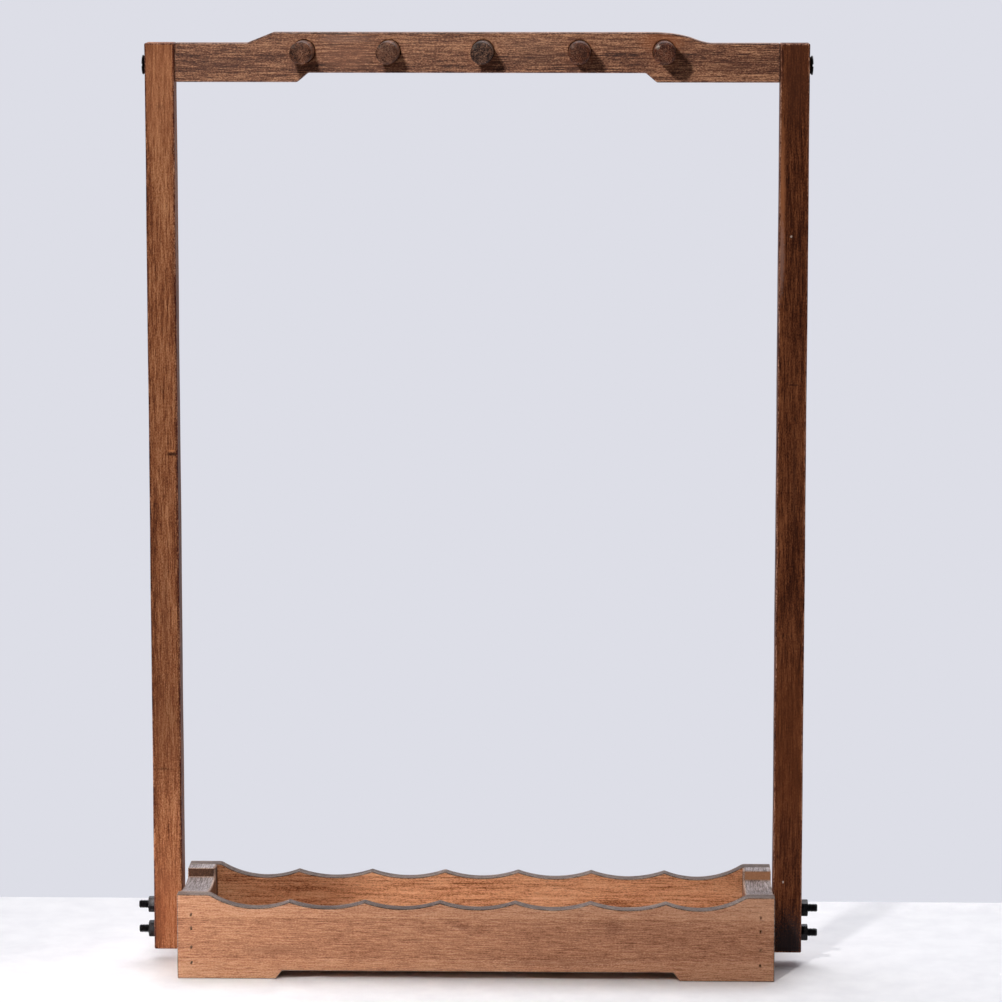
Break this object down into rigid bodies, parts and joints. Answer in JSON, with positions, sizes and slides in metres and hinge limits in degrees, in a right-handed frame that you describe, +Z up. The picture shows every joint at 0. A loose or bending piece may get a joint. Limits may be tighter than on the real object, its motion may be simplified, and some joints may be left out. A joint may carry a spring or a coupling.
{
  "type": "calligraphy brush rack",
  "caption": "Free-standing stained bamboo rack for calligraphy brushes: square posts on a scalloped tray, with a shaped crossbar and round hanging pegs.",
  "frame": {"origin": "on the table, under the middle of the rack's bounding box", "axes": "+Z up along the posts; +X to the right as the user faces the pegs; +Y from the front board with the pegs towards the back board"},
  "size_m": [0.3286, 0.072, 0.449],
  "materials": {
    "post_bamboo": "laminated bamboo, dark brown stain, satin",
    "bar_bamboo": "laminated bamboo, dark brown stain, satin, worn grain",
    "peg_bamboo": "turned bamboo, dark end grain, satin",
    "tray_bamboo": "bamboo boards, light brown stain, satin",
    "black_steel": "blackened steel, semi-gloss",
    "brad_steel": "dull steel, sunk in the wood"
  },
  "bodies": {
    "root": {"left_post": "post_bamboo", "right_post": "post_bamboo", "crossbar": "bar_bamboo", "hanging_peg_1": "peg_bamboo", "hanging_peg_2": "peg_bamboo", "hanging_peg_3": "peg_bamboo", "hanging_peg_4": "peg_bamboo", "hanging_peg_5": "peg_bamboo", "tray_front_board": "tray_bamboo", "tray_back_board": "tray_bamboo", "tray_left_end": "tray_bamboo", "tray_right_end": "tray_bamboo", "tray_floor": "tray_bamboo", "left_top_screw": "black_steel", "right_top_screw": "black_steel", "left_upper_bolt": "black_steel", "left_lower_bolt": "black_steel", "right_upper_bolt": "black_steel", "right_lower_bolt": "black_steel", "left_upper_nut": "black_steel", "left_lower_nut": "black_steel", "right_upper_nut": "black_steel", "right_lower_nut": "black_steel", "front_left_brad_1": "brad_steel", "front_left_brad_2": "brad_steel", "front_left_brad_3": "brad_steel", "front_left_brad_4": "brad_steel", "front_right_brad_1": "brad_steel", "front_right_brad_2": "brad_steel", "front_right_brad_3": "brad_steel", "front_right_brad_4": "brad_steel", "back_left_brad_1": "brad_steel", "back_left_brad_2": "brad_steel", "back_left_brad_3": "brad_steel", "back_left_brad_4": "brad_steel", "back_right_brad_1": "brad_steel", "back_right_brad_2": "brad_steel", "back_right_brad_3": "brad_steel", "back_right_brad_4": "brad_steel"}
  },
  "joints": []
}
